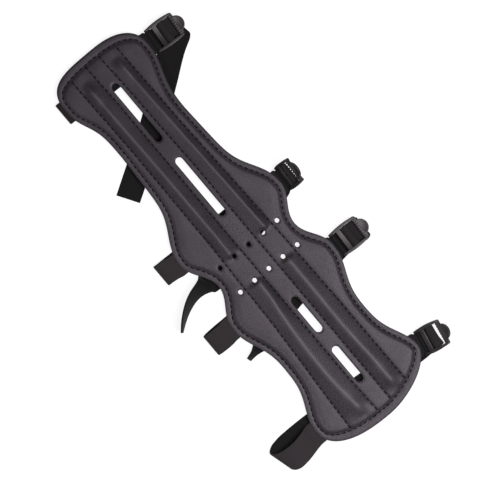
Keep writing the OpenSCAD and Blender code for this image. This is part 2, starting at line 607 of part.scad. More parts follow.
upper_edge = -edge_at(STRAP_Y[3], -1);
UPPER_KNOTS = concat(
    let(y = STRAP_Y[3], w = elastic_w, e = upper_edge) [
        [e + sewn_in, y, sewn_z, 0, 0, w], [e - 0.2, y, sewn_z, 0, 0, w], [e - 2, y, sewn_z, 0, 0, w],
        [e - 5, y - 0.4, sewn_z + 0.9, 2, 0, w],
        [e - 11, y - 1.8, 9, 6, 0, w], [e - 20, y - 3.4, 11, 6, 0, w], [e - 29, y - 3.3, 11.2, -2, 0, w],
        [e - 35, y - 1, 9, -12, 0, w], [e - 36.6, y + 2.2, 5.6, -16, 0, w], [e - 34, y + 5, 2.6, -12, 0, w],
        [e - 27, y + 6.8, 0.95, -4, 0, w], [e - 18, y + 7.2, tail_z, 0, 0, w],
        [e - 6, y + 7.1, 0.9, 2, 0, w],
        [e + 3, y + 6.8, 1.9, 2, 0, w], [e + 12, y + 6.4, run_z, 2, 0, w], [0, y + 4.6, run_z, 2, 0, w],
        [36, y + 1, run_z, 4, 0, w]
    ],
    tilted_approach(3), through_windows(3), tilted_leave(3, 0),
    let(w = elastic_w) [
        [50, -139, tail_z, -1, 0, w], [20, -138.5, tail_z, -1, 0, w], [-28, -138, tail_z, 0, 0, w]
    ]
);
module upper_arm_strap() { color([0.12, 0.12, 0.12]) ribbon(UPPER_KNOTS); }

front_leather();
felt_padding();
back_lining();
forearm_stay_left();
forearm_stay_right();
upper_arm_stay_left();
upper_arm_stay_right();
wrist_webbing_loop();
forearm_webbing_loop();
elbow_webbing_loop();
upper_arm_webbing_loop();
wrist_buckle();
forearm_buckle();
elbow_buckle();
upper_arm_buckle();
wrist_strap();
forearm_strap();
elbow_strap();
upper_arm_strap();
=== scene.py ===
"""Looks of the full length archery arm guard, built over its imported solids.

Lengths are written in millimetres, as in the solids, and become metres where a mesh is made.
X runs across the guard towards the buckles, Y along it towards the wrist, Z away from the arm.
"""
import math

import bmesh
import bpy
import numpy as np
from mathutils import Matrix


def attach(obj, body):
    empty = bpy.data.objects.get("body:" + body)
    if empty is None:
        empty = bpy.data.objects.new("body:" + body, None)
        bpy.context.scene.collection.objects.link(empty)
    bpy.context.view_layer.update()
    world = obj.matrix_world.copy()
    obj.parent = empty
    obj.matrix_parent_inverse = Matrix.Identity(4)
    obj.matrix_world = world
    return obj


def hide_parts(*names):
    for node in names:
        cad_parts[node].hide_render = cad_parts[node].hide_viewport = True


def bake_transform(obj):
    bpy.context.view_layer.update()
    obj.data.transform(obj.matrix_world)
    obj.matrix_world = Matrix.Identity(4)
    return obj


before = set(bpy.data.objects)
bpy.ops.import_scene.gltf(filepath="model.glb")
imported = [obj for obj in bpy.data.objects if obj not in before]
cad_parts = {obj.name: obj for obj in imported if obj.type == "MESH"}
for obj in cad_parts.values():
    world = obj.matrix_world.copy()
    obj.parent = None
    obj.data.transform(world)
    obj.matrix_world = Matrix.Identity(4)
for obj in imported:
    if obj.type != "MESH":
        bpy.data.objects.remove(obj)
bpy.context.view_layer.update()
MM = 0.001

# ---------------------------------------------------------------- sizes shared with the solids
WRIST_REACH, UPPER_REACH = 212.5, 164.0
WRIST_ROUND, UPPER_ROUND = 27.5, 28.0
FOREARM_HALF, ELBOW_HALF, UPPER_HALF = 32.2, 37.8, 40.5
FOREARM_WAIST, UPPER_WAIST = 130.0, 86.0
# A lobe at each strap: how far out, spread towards the wrist, and towards the upper arm on each side
LOBES = [(10.6, 40, 24, 29), (15.8, 29, 22.5, 22.5), (13.6, 21, 29, 29), (13.0, 27, 45, 45)]
LEAN = (1.0, 0.5, 1.5)
WRIST_CORNER, UPPER_CORNER = (3.8, 2.8), (2.6, 1.8)
SIDE_SEAM, END_SEAM = 3.8, 6.5
LINING_T, PADDING_T, LEATHER_T, MARGIN_T = 1.2, 1.6, 1.8, 2.2
FELT_TOP = LINING_T + PADDING_T
FACE_Z = FELT_TOP + LEATHER_T
MARGIN_Z = LINING_T + MARGIN_T
LIFT = 4.2
STRAP_Y = (187.0, 36.0, -30.5, -138.0)
SLOTS = [(43.2, 102.2), (120.9, 179.9), (-77.9, -42.6), (-129.1, -93.8)]
SLOT_X = (0.2, -0.7, -0.4, -0.9)
SLOT_W, HOLE_D, HOLE_PITCH, ROW_GAP = 6.4, 3.9, 14.8, 25.2
# Crest line of each channel: y from its near end, and x there
CRESTS = [([15.5, 35, 95, 140, 184], [-16.6, -16.1, -16.4, -17.2, -17.9]),
          ([15.5, 35, 65, 80, 110, 155, 184], [18.9, 18.2, 17.6, 17.1, 16.2, 15, 14.3]),
          ([-16.5, -32, -42, -60, -80, -105, -120, -141],
           [-13.1, -13.7, -15.3, -17.2, -18.7, -19.3, -18.6, -16.4]),
          ([-17.5, -50, -80, -100, -120, -141], [16.6, 16.4, 15.9, 16.5, 17.5, 17.6])]
CREST_H, CHANNEL_FADE = 4.0, 12.0
LOOP_OUT, TILT, TURN = (4.9, 4.6, 3.5, 3.8), (0, 63, 0, 35), (-4, -3, -2, -11)
SHIFT = (-0.8, -1.1, -3.1, 1.3)
HINGE_Z = LINING_T + 0.6
ELASTIC_W, ELASTIC_T, THREADED_W = 19.6, 1.4, 17.9
WEBBING_W, EYE_W, WEBBING_T, LOOP_IN, BAR_R, RAIL_R = 20.6, 17.9, 0.9, 14.0, 1.5, 2.4
MID_X, MID_Z, MID_R, LIP_X = 12.0, 0.8, 1.0, 20.0
# Heights of the elastic over the table: the tail, the run above it, and the end sewn in at the edge
TAIL_Z = ELASTIC_T / 2
RUN_Z = TAIL_Z + ELASTIC_T + 0.4
SEWN_Z = LIFT + LINING_T - 0.5 + ELASTIC_T / 2
# Four seams run from end to end, beside the channels: y, x
SEAM_LINES = [
    ([-164, -150, -112, -82, -45, 0, 30, 130, 180, 212],
     [-33, -32, -30, -28, -26, -25, -24, -23.8, -24.6, -25]),
    ([-164, -145, -120, 165, 190, 212], [-6.3, -6.6, -7.6, -7.8, -8.4, -9]),
    ([-164, 90, 130, 165, 190, 212], [7.6, 7.6, 6.6, 6, 5.2, 4.7]),
    ([-164, -60, 0, 50, 120, 190, 212], [27, 26.4, 25.2, 24, 21.6, 20.4, 20]),
]

# ---------------------------------------------------------------- sizes of the visual model alone
PAD_RISE, PAD_SWELL = 3.4, 0.35
BORDER_DIP, SEAM_DIP, SEAM_PULL = 0.3, 0.35, 0.2
TENT_POWER, CREST_ROUND, END_DENT = 1.08, 0.12, 0.35
LEATHER_CELL, CLOTH_CELL = (0.6, 1.25), (1.1, 2.0)
# Gap between the layers of the panel
SLIT = 0.02
STITCH_PITCH, STITCH_LENGTH, STITCH_R, STITCH_RINGS, STITCH_SIDES = 4.75, 3.4, 0.47, 7, 6
BOBBIN_R, BOBBIN_Z = 0.3, 0.22
# Painted highlight on each strap from its sewn end to where it reaches furthest left, and the tilt in
# degrees from which a buckle counts as steep
LOOP_HIGHLIGHT, STEEP = (0.35, 0.9, 0.9, 1.0), 50
# Elastic and webbing are drawn this much thinner than in the solids, which keeps their layers apart
TAPE_SPARE = 0.06
BEVEL, BEVEL_FROM = 0.22, 35
# Places along x from the bar by a strap's buckle, and points in metres by the elbow, set out for bends
# that nothing here makes
STRAP_BEND, ELBOW_BEND = (-5, 4), ((0, 0.013, 0.0023), (0, -0.017, 0.0023))
# Half the floor's side, and how far it lies below the straps, in metres
FLOOR_HALF, FLOOR_GAP = 3.0, 0.00005
# Each lamp's place and size in metres, and its power
LAMPS = {"overhead": ((0.22, -0.32, 1.1), 0.62, 12.6), "side": ((-0.62, 0.15, 0.8), 0.36, 1.8)}
# The camera's place in millimetres, turn in degrees, and height and side of its picture in metres
CAMERA_AT, CAMERA_TURN, CAMERA_HEIGHT, PICTURE_SIDE = (-2.1, 8.3), -40, 3.0, 0.4
SENSOR = 36


def smooth(a, b, x):
    """0 below a, 1 above b, and t * t * (3 - 2 t) between."""
    t = np.clip((x - a) / (b - a), 0, 1)
    return t * t * (3 - 2 * t)


def near(distance, width, power=2):
    """1 where distance is 0, fading to both sides by exp(-|distance / width| ** power)."""
    return np.exp(-np.abs(distance / width) ** power)


def unit(v):
    """Each vector divided by its own length."""
    return v / np.linalg.norm(v, axis=-1, keepdims=True)


# ---------------------------------------------------------------- shader maths
class Value:
    """A socket of a shader tree that is written as arithmetic: each operator adds its Math node."""

    def __init__(self, finish, socket):
        self.finish, self.socket = finish, socket

    def _math(self, operation, *values):
        return self.finish.node("ShaderNodeMath", {"operation": operation}, dict(enumerate(values)))

    def __add__(self, other): return self._math("ADD", self, other)
    def __radd__(self, other): return self._math("ADD", other, self)
    def __sub__(self, other): return self._math("SUBTRACT", self, other)
    def __rsub__(self, other): return self._math("SUBTRACT", other, self)
    def __mul__(self, other): return self._math("MULTIPLY", self, other)
    def __rmul__(self, other): return self._math("MULTIPLY", other, self)
    def sine(self): return self._math("SINE", self)
    def most(self, other): return self._math("MAXIMUM", self, other)

    def step(self, a, b, low=0.0, high=1.0):
        """low below a, high above b, smooth between."""
        return self.finish.node(
            "ShaderNodeMapRange", {"interpolation_type": "SMOOTHSTEP"},
            {"Value": self, "From Min": a, "From Max": b, "To Min": low, "To Max": high})


class Finish:
    """One material: fixed numbers go on the shader's own sockets, changing ones through nodes."""

    def __init__(self, name, slot, **fixed):
        self.material = bpy.data.materials.new(name)
        self.material.use_nodes = True
        self.tree = self.material.node_tree
        self.shader = self.tree.nodes["Principled BSDF"]
        self.slot = slot
        for socket, value in fixed.items():
            self.shader.inputs[socket.replace("_", " ")].default_value = value

    def node(self, kind, settings=(), inputs=(), out=0):
        """A new node with settings, and inputs that are numbers, vectors or the outputs of others."""
        made = self.tree.nodes.new(kind)
        for key, value in dict(settings).items():
            setattr(made, key, value)
        for key, value in dict(inputs).items():
            socket = made.inputs[key]
            if isinstance(value, Value):
                self.tree.links.new(value.socket, socket)
            else:
                socket.default_value = value
        return Value(self, made.outputs[out])

    def set(self, **inputs):
        """Link values to the shader's sockets."""
        for key, value in inputs.items():
            self.tree.links.new(value.socket, self.shader.inputs[key.replace("_", " ")])

    def mix(self, factor, a, b):
        """Colour a where factor is 0, b where it is 1."""
        made = self.tree.nodes.new("ShaderNodeMix")
        made.data_type = "RGBA"
        for key, value in (("Factor_Float", factor), ("A_Color", a), ("B_Color", b)):
            socket = next(s for s in made.inputs if s.identifier == key)
            if isinstance(value, Value):
                self.tree.links.new(value.socket, socket)
            else:
                socket.default_value = (*value, 1) if isinstance(value, tuple) else value
        return Value(self, next(s for s in made.outputs if s.identifier == "Result_Color"))

    def attribute(self, name):
        """A number that the piece holds for each of its points."""
        return self.node("ShaderNodeAttribute", {"attribute_name": name}, out=2)

    def surface_map(self):
        """The piece's own flat map, in millimetres, which follows the surface when it bends."""
        return self.node("ShaderNodeUVMap", {"uv_map": "flat"})

    def place(self):
        """The point's place in the piece's own frame, in metres."""
        return self.node("ShaderNodeTexCoord", out=3)

    def scaled(self, vector, x, y, z=1.0):
        return self.node("ShaderNodeVectorMath", {"operation": "MULTIPLY"}, {0: vector, 1: (x, y, z)})

    def parts(self, vector):
        made = self.tree.nodes.new("ShaderNodeSeparateXYZ")
        self.tree.links.new(vector.socket, made.inputs[0])
        return [Value(self, made.outputs[i]) for i in range(3)]

    def noise(self, vector, scale, detail=2.0, rough=0.5):
        return self.node("ShaderNodeTexNoise", {},
                         {"Vector": vector, "Scale": scale, "Detail": detail, "Roughness": rough})

    def cells(self, vector, scale):
        return self.node("ShaderNodeTexVoronoi", {"feature": "DISTANCE_TO_EDGE"},
                         {"Vector": vector, "Scale": scale})

    def bump(self, height, strength, distance):
        self.set(Normal=self.node("ShaderNodeBump", {},
                                  {"Height": height, "Strength": strength, "Distance": distance}))


def leather_finish():
    """Charcoal leather: rounded grain cells with fine creases, pores that are deeper towards the upper
    arm, mottled dye, a painted highlight along the rims and crests, and painted shade along the seams
    and the wrist end's rim, darker round the forearm slots."""
    f = Finish("charcoal_leather", "front_leather", Specular_IOR_Level=0.4,
               Specular_Tint=(0.99, 0.86, 1, 1))
    flat = f.surface_map()
    grain = f.cells(flat, 0.95).step(0.0, 0.25)
    fine = f.noise(flat, 1.1, 4, 0.7)
    patches = f.noise(flat, 0.045, 3, 0.55)
    highlight_mask, painted_shade = f.attribute("highlight_mask"), f.attribute("painted_shade")
    depth = f.parts(flat)[1].step(10, 130, 1.2, 0.5)
    pores = (fine.step(0.4, 0.6) - 0.5) * depth + 0.5
    dyed = f.mix(patches.step(0.3, 0.7) * 0.25 + pores * 0.75,
                 (0.0075, 0.0064, 0.0077), (0.063, 0.0543, 0.0639))
    # Painted highlight: a paler colour along the rims and crests, where light catches them.
    worn = f.mix(highlight_mask * (0.55 + 0.45 * fine), dyed, (0.135, 0.125, 0.132))
    creased = f.mix((1 - grain) * 0.35, worn, (0.014, 0.0125, 0.0135))
    # Painted shade: near black in the seams' grooves and on the wrist end's rim.
    f.set(Base_Color=f.mix(painted_shade * (0.75 + 0.25 * fine), creased, (0.008, 0.0072, 0.008)),
          Roughness=0.41 + 0.34 * (fine - 0.5) * depth + 0.1 * (1 - grain) + 0.2 * painted_shade)
    f.bump(grain * 0.5 + fine * 0.5, 0.35, 0.00016)
    return f


def elastic_finish():
    """Black knitted elastic: ribs along its length over short cross stitches, and a paler copy of its
    colour as painted highlight.
    """
    f = Finish("black_elastic", "elastic", Specular_IOR_Level=0.15, Sheen_Weight=0.05,
               Sheen_Roughness=0.5)
    across, along, _ = f.parts(f.surface_map())
    rib = (across * (2 * math.pi / 1.25)).sine() * 0.5 + 0.5
    stitch = (along * (2 * math.pi / 0.8) + rib * 1.6).sine() * 0.5 + 0.5
    fuzz = f.noise(f.surface_map(), 1.5, 3)
    knit = rib * 0.6 + stitch * 0.25 + fuzz * 0.15
    # The knit's own colour, and a paler copy of it mixed in as painted highlight.
    new = f.mix(knit, (0.0055, 0.0049, 0.0053), (0.0125, 0.0110, 0.0118))
    highlit_colour = f.mix(knit, (0.025, 0.021, 0.0235), (0.046, 0.039, 0.043))
    f.set(Base_Color=f.mix(f.attribute("worn"), new, highlit_colour), Roughness=0.75 + 0.2 * fuzz)
    f.bump(rib * 0.7 + stitch * 0.3, 0.4, 0.00012)
    return f


def woven_finish(name, slot, pitch, low, high):
    """Woven tape or cloth: two crossed waves, of which the higher one lies on top."""
    f = Finish(name, slot, Specular_IOR_Level=0.15, Sheen_Weight=0.03, Sheen_Roughness=0.5)
    across, along, _ = f.parts(f.surface_map())
    warp = ((across + along) * (2 * math.pi / pitch)).sine()
    weft = ((across - along) * (2 * math.pi / pitch)).sine()
    top = warp.most(weft) * 0.5 + 0.5
    f.set(Base_Color=f.mix(top, low, high), Roughness=0.62 + 0.25 * (1 - top))
    f.bump(top, 0.5, 0.0002)
    return f


def felt_finish():
    """Grey felt: matted fibres, as stretched noise in two directions."""
    f = Finish("grey_felt", "felt", Specular_IOR_Level=0.15, Sheen_Weight=0.4)
    flat = f.surface_map()
    fibre = f.noise(f.scaled(flat, 3.0, 0.7), 1.0, 3) + f.noise(f.scaled(flat, 0.7, 3.0), 1.0, 3)
    f.set(Base_Color=f.mix(fibre.step(0.7, 1.3), (0.16, 0.155, 0.15), (0.32, 0.31, 0.30)),
          Roughness=0.85 + 0.1 * f.noise(flat, 0.5))
    f.bump(fibre, 0.6, 0.0002)
    return f


def thread_finish():
    """Black waxed thread: plies that wind round it, as slanted stripes."""
    f = Finish("black_thread", "front_leather", Specular_IOR_Level=0.12)
    across, along, _ = f.parts(f.surface_map())
    ply = ((along * 2.2 + across) * (2 * math.pi)).sine() * 0.5 + 0.5
    f.set(Base_Color=f.mix(ply, (0.002, 0.002, 0.0022), (0.007, 0.0068, 0.007)),
          Roughness=0.6 + 0.2 * ply)
    return f


def moulded_finish():
    """Black moulded nylon: fine spark texture and faint flow marks."""
    f = Finish("black_nylon", "buckle_plastic", Specular_IOR_Level=0.5, Specular_Tint=(1, 0.92, 0.98, 1))
    place = f.place()
    spark = f.noise(place, 2600, 2)
    flow = f.noise(place, 130, 2)
    f.set(Base_Color=f.mix(flow.step(0.35, 0.7), (0.02, 0.018, 0.0198), (0.041, 0.0368, 0.0402)),
          Roughness=0.38 + 0.14 * spark + 0.08 * flow)
    f.bump(spark, 0.18, 0.00006)
    return f


def stay_finish():
    """Pale extruded plastic rod with faint draw lines."""
    f = Finish("stay_rod", "stay_plastic")
    lines = f.noise(f.scaled(f.place(), 2500, 60, 2500), 1.0, 2)
    f.set(Base_Color=f.mix(lines, (0.5, 0.5, 0.48), (0.66, 0.66, 0.63)), Roughness=0.38 + 0.2 * lines)
    f.bump(lines, 0.2, 0.00005)
    return f


# ---------------------------------------------------------------- meshes
def finished(mesh, finish, crisp=None):
    """The object of a mesh, in its finish, shaded smooth but for edges sharper than crisp degrees."""
    mesh.polygons.foreach_set("use_smooth", np.ones(len(mesh.polygons), bool))
    if crisp is not None:
        mesh.set_sharp_from_angle(angle=math.radians(crisp))
    mesh.materials.append(finish.material)
    made = bpy.data.objects.new(mesh.name, mesh)
    bpy.context.scene.collection.objects.link(made)
    return made


def new_piece(name, points, faces, finish, flat, floats=(), crisp=None):
    """A piece from points in millimetres. flat is one map point a vertex, in millimetres, and floats
    are numbers a vertex that its finish reads by their names."""
    mesh = bpy.data.meshes.new(name)
    mesh.from_pydata((np.asarray(points) * MM).tolist(), [], faces)
    corner = np.zeros(len(mesh.loops), np.int32)
    mesh.loops.foreach_get("vertex_index", corner)
    mesh.uv_layers.new(name="flat").uv.foreach_set("vector", np.asarray(flat, np.float32)[corner].ravel())
    for key, values in dict(floats).items():
        layer = mesh.attributes.new(key, "FLOAT", "POINT")
        layer.data.foreach_set("value", np.asarray(values, np.float32).ravel())
    made = finished(mesh, finish, crisp)
    mesh.validate()
    return made


def tube_faces(rows, cols):
    """Quads over a grid of rows rings by cols points, with each end ring closed by one face."""
    i, j = np.meshgrid(np.arange(rows - 1), np.arange(cols), indexing="ij")
    k = (j + 1) % cols
    quads = np.stack([i * cols + j, i * cols + k, (i + 1) * cols + k, (i + 1) * cols + j], -1)
    ends = [list(range(cols))[::-1], [(rows - 1) * cols + c for c in range(cols)]]
    return quads.reshape(-1, 4).tolist() + ends


def clipped_sheet(xs, ys, inside, top, bottom):
    """Closed sheet over the cells of a grid, cut along the line where inside(x, y) is 0.

    A grid edge whose ends differ in sign gets a point where the straight line between them is 0, kept
    a little off both ends. Each cell keeps the polygon of its inner corners and those points, and a
    wall joins top to bottom. The points of the top come first: their number is returned last."""
    X, Y = np.meshgrid(xs, ys, indexing="ij")
    F = inside(X, Y)
    keep = F > 0
    number = np.full(F.shape, -1)
    number[keep] = np.arange(keep.sum())
    points = [np.stack([X[keep], Y[keep]], -1)]
    count = keep.sum()
    edges = []
    for axis in (0, 1):
        a = (slice(None, -1), slice(None)) if axis == 0 else (slice(None), slice(None, -1))
        b = (slice(1, None), slice(None)) if axis == 0 else (slice(None), slice(1, None))
        cut = keep[a] != keep[b]
        t = np.clip(F[a][cut] / (F[a][cut] - F[b][cut]), 0.04, 0.96)[:, None]
        pa, pb = (np.stack([X[s][cut], Y[s][cut]], -1) for s in (a, b))
        ids = np.full(cut.shape, -1)
        ids[cut] = count + np.arange(cut.sum())
        count += cut.sum()
        points.append(pa + (pb - pa) * t)
        edges.append(ids)
    flat = np.concatenate(points)
    ex, ey = edges
    corners = [number[:-1, :-1], number[1:, :-1], number[1:, 1:], number[:-1, 1:]]
    sides = [ex[:, :-1], ey[1:, :], ex[:, 1:], ey[:-1, :]]
    kept = [keep[:-1, :-1], keep[1:, :-1], keep[1:, 1:], keep[:-1, 1:]]
    code = sum(k.astype(int) << n for n, k in enumerate(kept))
    faces, rim = [], []
    for case in range(1, 16):
        here = code == case
        if not here.any():
            continue
        walk, cuts = [], []
        for n in range(4):
            inner, following = case >> n & 1, case >> (n + 1) % 4 & 1
            if inner:
                walk.append(corners[n][here])
            if inner != following:
                walk.append(sides[n][here])
                cuts.append((len(walk) - 1, inner))
        polygon = np.stack(walk, -1)
        faces.append(polygon)
        for at, leaving in cuts:
            if leaving:
                rim.append(polygon[:, [at, (at + 1) % len(walk)]])
    rim = np.concatenate(rim)
    n = len(flat)
    above = [p for f in faces for p in f.tolist()]
    below = [[v + n for v in p[::-1]] for p in above]
    wall = np.stack([rim[:, 1], rim[:, 0], rim[:, 0] + n, rim[:, 1] + n], -1).tolist()
    x, y = flat[:, 0], flat[:, 1]
    up = np.stack([x, y, top(x, y)], -1)
    down = np.stack([x, y, bottom(x, y)], -1)
    return np.concatenate([up, down]), above + below + wall, np.concatenate([flat, flat]), n


# ---------------------------------------------------------------- the panel's plan
def edge_at(y, side):
    """Half width at y: straight ramps from the elbow to a waist on both sides of it, with a bump of
    exp(-|d / s| ** 2.4) at each strap, d from the strap's line and s the bump's spread on that side."""
    y = np.asarray(y, float)
    fore, upper = np.minimum(1, y / FOREARM_WAIST), np.minimum(1, -y / UPPER_WAIST)
    def ramp(wrist, elbow, arm):
        return np.where(y > 0, elbow + (wrist - elbow) * fore, elbow + (arm - elbow) * upper)
    width = ramp(FOREARM_HALF, ELBOW_HALF, UPPER_HALF)
    lean = ramp(*LEAN)
    for (out, up, *down), centre in zip(LOBES, STRAP_Y):
        d = y - centre
        width = width + out * near(d, np.where(d > 0, up, down[side > 0]), 2.4)
    return width - side * lean


def plan_outline(side_steps=260, end_steps=34):
    """The outline, anticlockwise: each side as edge_at, and each end as two superellipse quarters over
    it, x by cos(a) ** (2 / power) and y by sin(a) ** (2 / power)."""
    wrist_from, upper_from = WRIST_REACH - WRIST_ROUND, UPPER_ROUND - UPPER_REACH
    halves = []
    for side, corner in ((1, 1), (-1, 0)):
        a = np.radians(90) * (np.arange(1, end_steps + 1) / end_steps)
        y = np.linspace(upper_from, wrist_from, side_steps)
        pieces = [np.stack([side * edge_at(y, side), y], -1)]
        for far, start, power in ((-UPPER_REACH, upper_from, UPPER_CORNER[corner]),
                                  (WRIST_REACH, wrist_from, WRIST_CORNER[corner])):
            ye = start + (far - start) * np.sin(a) ** (2 / power)
            pieces.append(np.stack([side * edge_at(ye, side) * np.cos(a) ** (2 / power), ye], -1))
        middle, low, high = pieces
        halves.append(np.concatenate([low[::-1], middle, high]))
    right, left = halves
    return np.concatenate([right, left[::-1][1:-1]])


OUTLINE = plan_outline()


def measure_outline(x, y, pairs_at_once=4000000):
    """Distance to the outline, above 0 inside, and how far its nearest stretch faces an end (0 to 1).
    A point is inside where a line from it towards higher x crosses the outline an odd number of times."""
    shape = np.shape(x)
    p = np.stack([np.ravel(x), np.ravel(y)], -1)
    a, b = OUTLINE, np.roll(OUTLINE, -1, 0)
    d = b - a
    length2 = (d ** 2).sum(-1)
    best, facing, crossings = np.full(len(p), 1e9), np.zeros(len(p)), np.zeros(len(p), int)
    for part in np.array_split(np.arange(len(p)), max(1, len(p) * len(a) // pairs_at_once)):
        q = p[part][:, None] - a[None]
        t = np.clip((q * d).sum(-1) / length2, 0, 1)
        r = ((q - t[..., None] * d) ** 2).sum(-1)
        nearest = r.argmin(1)
        best[part] = np.sqrt(r.min(1))
        facing[part] = d[nearest, 0] ** 2 / length2[nearest]
        py, px = p[part][:, 1:2], p[part][:, 0:1]
        span = (a[:, 1] > py) != (b[:, 1] > py)
        at = a[:, 0] + (py - a[:, 1]) * d[:, 0] / np.where(d[:, 1] == 0, 1e-9, d[:, 1])
        crossings[part] = (span & (px < at)).sum(1)
    return (best * np.where(crossings % 2 == 1, 1, -1)).reshape(shape), facing.reshape(shape)


FIELD_STEP = 0.5
FIELD_X, FIELD_Y = np.arange(-60, 60.1, FIELD_STEP), np.arange(-170, 219, FIELD_STEP)
FIELD = measure_outline(*np.meshgrid(FIELD_X, FIELD_Y, indexing="ij"))


def outline_field(x, y):
    """measure_outline read from its table, straight between the four nearest entries."""
    u = np.clip((np.asarray(x, float) - FIELD_X[0]) / FIELD_STEP, 0, len(FIELD_X) - 1.001)
    v = np.clip((np.asarray(y, float) - FIELD_Y[0]) / FIELD_STEP, 0, len(FIELD_Y) - 1.001)
    i, j = u.astype(int), v.astype(int)
    u, v = u - i, v - j
    return tuple((f[i, j] * (1 - u) + f[i + 1, j] * u) * (1 - v)
                 + (f[i, j + 1] * (1 - u) + f[i + 1, j + 1] * u) * v for f in FIELD)


def seam_depth(facing):
    """How far inside the outline the border seam lies, where the outline faces an end by facing."""
    return SIDE_SEAM + (END_SEAM - SIDE_SEAM) * facing


def into_panel(x, y):
    """Distance inside the outline, and distance past the border seam."""
    d, facing = outline_field(x, y)
    return d, d - seam_depth(facing)


def vents_field(x, y):
    """Distance to the nearest vent, above 0 outside it: that to a segment less half a slot's width,
    or to a point less a hole's radius."""
    best = np.full(np.shape(x), 1e9)
    r = SLOT_W / 2
    for (low, high), at in zip(SLOTS, SLOT_X):
        best = np.minimum(best, np.hypot(x - at, y - np.clip(y, low + r, high - r)) - r)
    for row in (-1, 1):
        for k in range(-2, 3):
            best = np.minimum(best, np.hypot(x - k * HOLE_PITCH, y - row * ROW_GAP / 2) - HOLE_D / 2)
    return best


def panel_field(x, y, grow=0.0, inset=0.0):
    """Above 0 on the panel, whose vents may be larger by grow and its edge further in by inset."""
    return np.minimum(outline_field(x, y)[0] - inset, vents_field(x, y) - grow)


def crest_place(k, y):
    """Crest line k at y: its x, straight between its points, and how much of the channel is raised
    there, 0 to 1: it rises at once at the near end and fades over CHANNEL_FADE at the far one."""
    ys, xs = CRESTS[k]
    u, run = (y - ys[0]) * np.sign(ys[-1]), abs(ys[-1] - ys[0])
    raised = smooth(-4, 1, u) * (1 - smooth(-0.4, CHANNEL_FADE, u - run))
    return np.interp(np.abs(y), np.abs(ys), xs), raised


def leather_top(x, y):
    """Height of the leather: a flat margin, a rise past the border seam, soft pads between the seams,
    grooves of exp(-(d / w) ** 2) along them, and over each stay a tent of (1 - t) ** TENT_POWER, where t
    is the share of the way from the crest to the seam on that side. A shallow dip lies past each far
    end, and the edge and the rims of the vents round off as squares."""
    d, past = into_panel(x, y)
    d, v = np.maximum(d, 0), np.maximum(vents_field(x, y), 0)
    within = smooth(-0.3, 0.8, past)
    z = MARGIN_Z + (FACE_Z - MARGIN_Z) * smooth(-0.2, PAD_RISE, past) + PAD_SWELL * smooth(1.5, 9, past)
    z = z - BORDER_DIP * near(past, 0.7)
    seams = [np.interp(y, ys, xs) for ys, xs in SEAM_LINES]
    for at in seams:
        z = z - within * (SEAM_DIP * near(x - at, 0.65) + SEAM_PULL * near(x - at, 2.2))
    for k in range(4):
        cx, raised = crest_place(k, y)
        lower, upper = seams[k % 2 * 2], seams[k % 2 * 2 + 1]
        t = np.where(x < cx, (cx - x) / np.maximum(cx - lower - 0.5, 3),
                     (x - cx) / np.maximum(upper - cx - 0.5, 3))
        t = np.hypot(t, CREST_ROUND)
        z = z + (CREST_H - BORDER_DIP) * raised * np.clip(1 - t, 0, 1) ** TENT_POWER
        end = CRESTS[k][0][-1]
        z = z - END_DENT * near(x - cx, 3.2) * near(np.abs(y - end) - 11, 5)
    rounding = 0.6 * (1 - np.clip(d / 1.1, 0, 1)) ** 2 + 0.55 * (1 - np.clip(v / 1.3, 0, 1)) ** 2
    return z - rounding


def leather_under(x, y):
    """Underside of the leather: on the lining in the margin, on the felt inside it."""
    return LINING_T + SLIT + (PADDING_T + SLIT) * smooth(0.9, 1.6, into_panel(x, y)[1])


def grid(cell):
    """X and y of a grid over the panel, with cells of that size."""
    return np.arange(-57, 57.01, cell[0]), np.arange(-166, 214.6, cell[1])


def leather_piece():
    """The leather, with how much painted highlight and painted shade each point carries."""
    points, faces, flat, n = clipped_sheet(*grid(LEATHER_CELL), panel_field, leather_top, leather_under)
    x, y = flat[:, 0], flat[:, 1]
    d, past = into_panel(x, y)
    d, v = np.maximum(d, 0), np.maximum(vents_field(x, y), 0)
    wristward, within = smooth(20, 160, y), smooth(-0.3, 0.8, past)
    # Painted highlight on the edge's rim, fading out towards the wrist end, and on the vents' rims.
    highlight_mask = 0.7 * (1 - wristward) * near(d, 0.8) + 0.25 * near(v, 0.5)
    for k in range(4):
        cx, raised = crest_place(k, y)
        # Painted highlight along each crest, wider and stronger on the upper arm.
        strength, width = (0.45, 1.0) if k < 2 else (0.65, 2.0)
        highlight_mask = highlight_mask + strength * raised * near(x - cx, width)
    # Painted shade in the border seam's groove, on the wrist end's rim, and along each seam line.
    painted_shade = 0.3 * near(past, 0.6) + 0.15 * near(past - 1.3, 1.4) + 0.5 * wristward * near(d, 1.3)
    for line_y, line_x in SEAM_LINES:
        away = x - np.interp(y, line_y, line_x)
        painted_shade = painted_shade + within * (0.3 * near(away, 0.6) + 0.15 * near(away, 1.6))
    # Darker round the forearm slots.
    between_slots = near(x, 6.5, 4) * smooth(35, 60, y) * (1 - smooth(120, 180, y))
    painted_shade = painted_shade + 0.38 * between_slots
    painted_shade[n:] = 0
    leather = new_piece("leather_sheet", points, faces, LEATHER, flat,
                        {"highlight_mask": np.clip(highlight_mask, 0, 1), "painted_shade": np.clip(painted_shade, 0, 1)}, crisp=40)
    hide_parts("front_leather")
    return leather


def level(z):
    """A height that is the same everywhere."""
    return lambda x, y: np.full(x.shape, z)


def felt_piece():
    """The felt, which lies flat between the lining and the leather."""
    def area(x, y):
        """Inside the border seam by 1.7 mm and half a millimetre clear of every vent."""
        return np.minimum(into_panel(x, y)[1] - 1.7, vents_field(x, y) - 0.5)
    points, faces, flat, _ = clipped_sheet(*grid(CLOTH_CELL), area, level(FELT_TOP - SLIT),
                                           level(LINING_T + SLIT))
    felt = new_piece("felt_layer", points, faces, FELT, flat, crisp=40)
    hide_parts("felt_padding")
    return felt


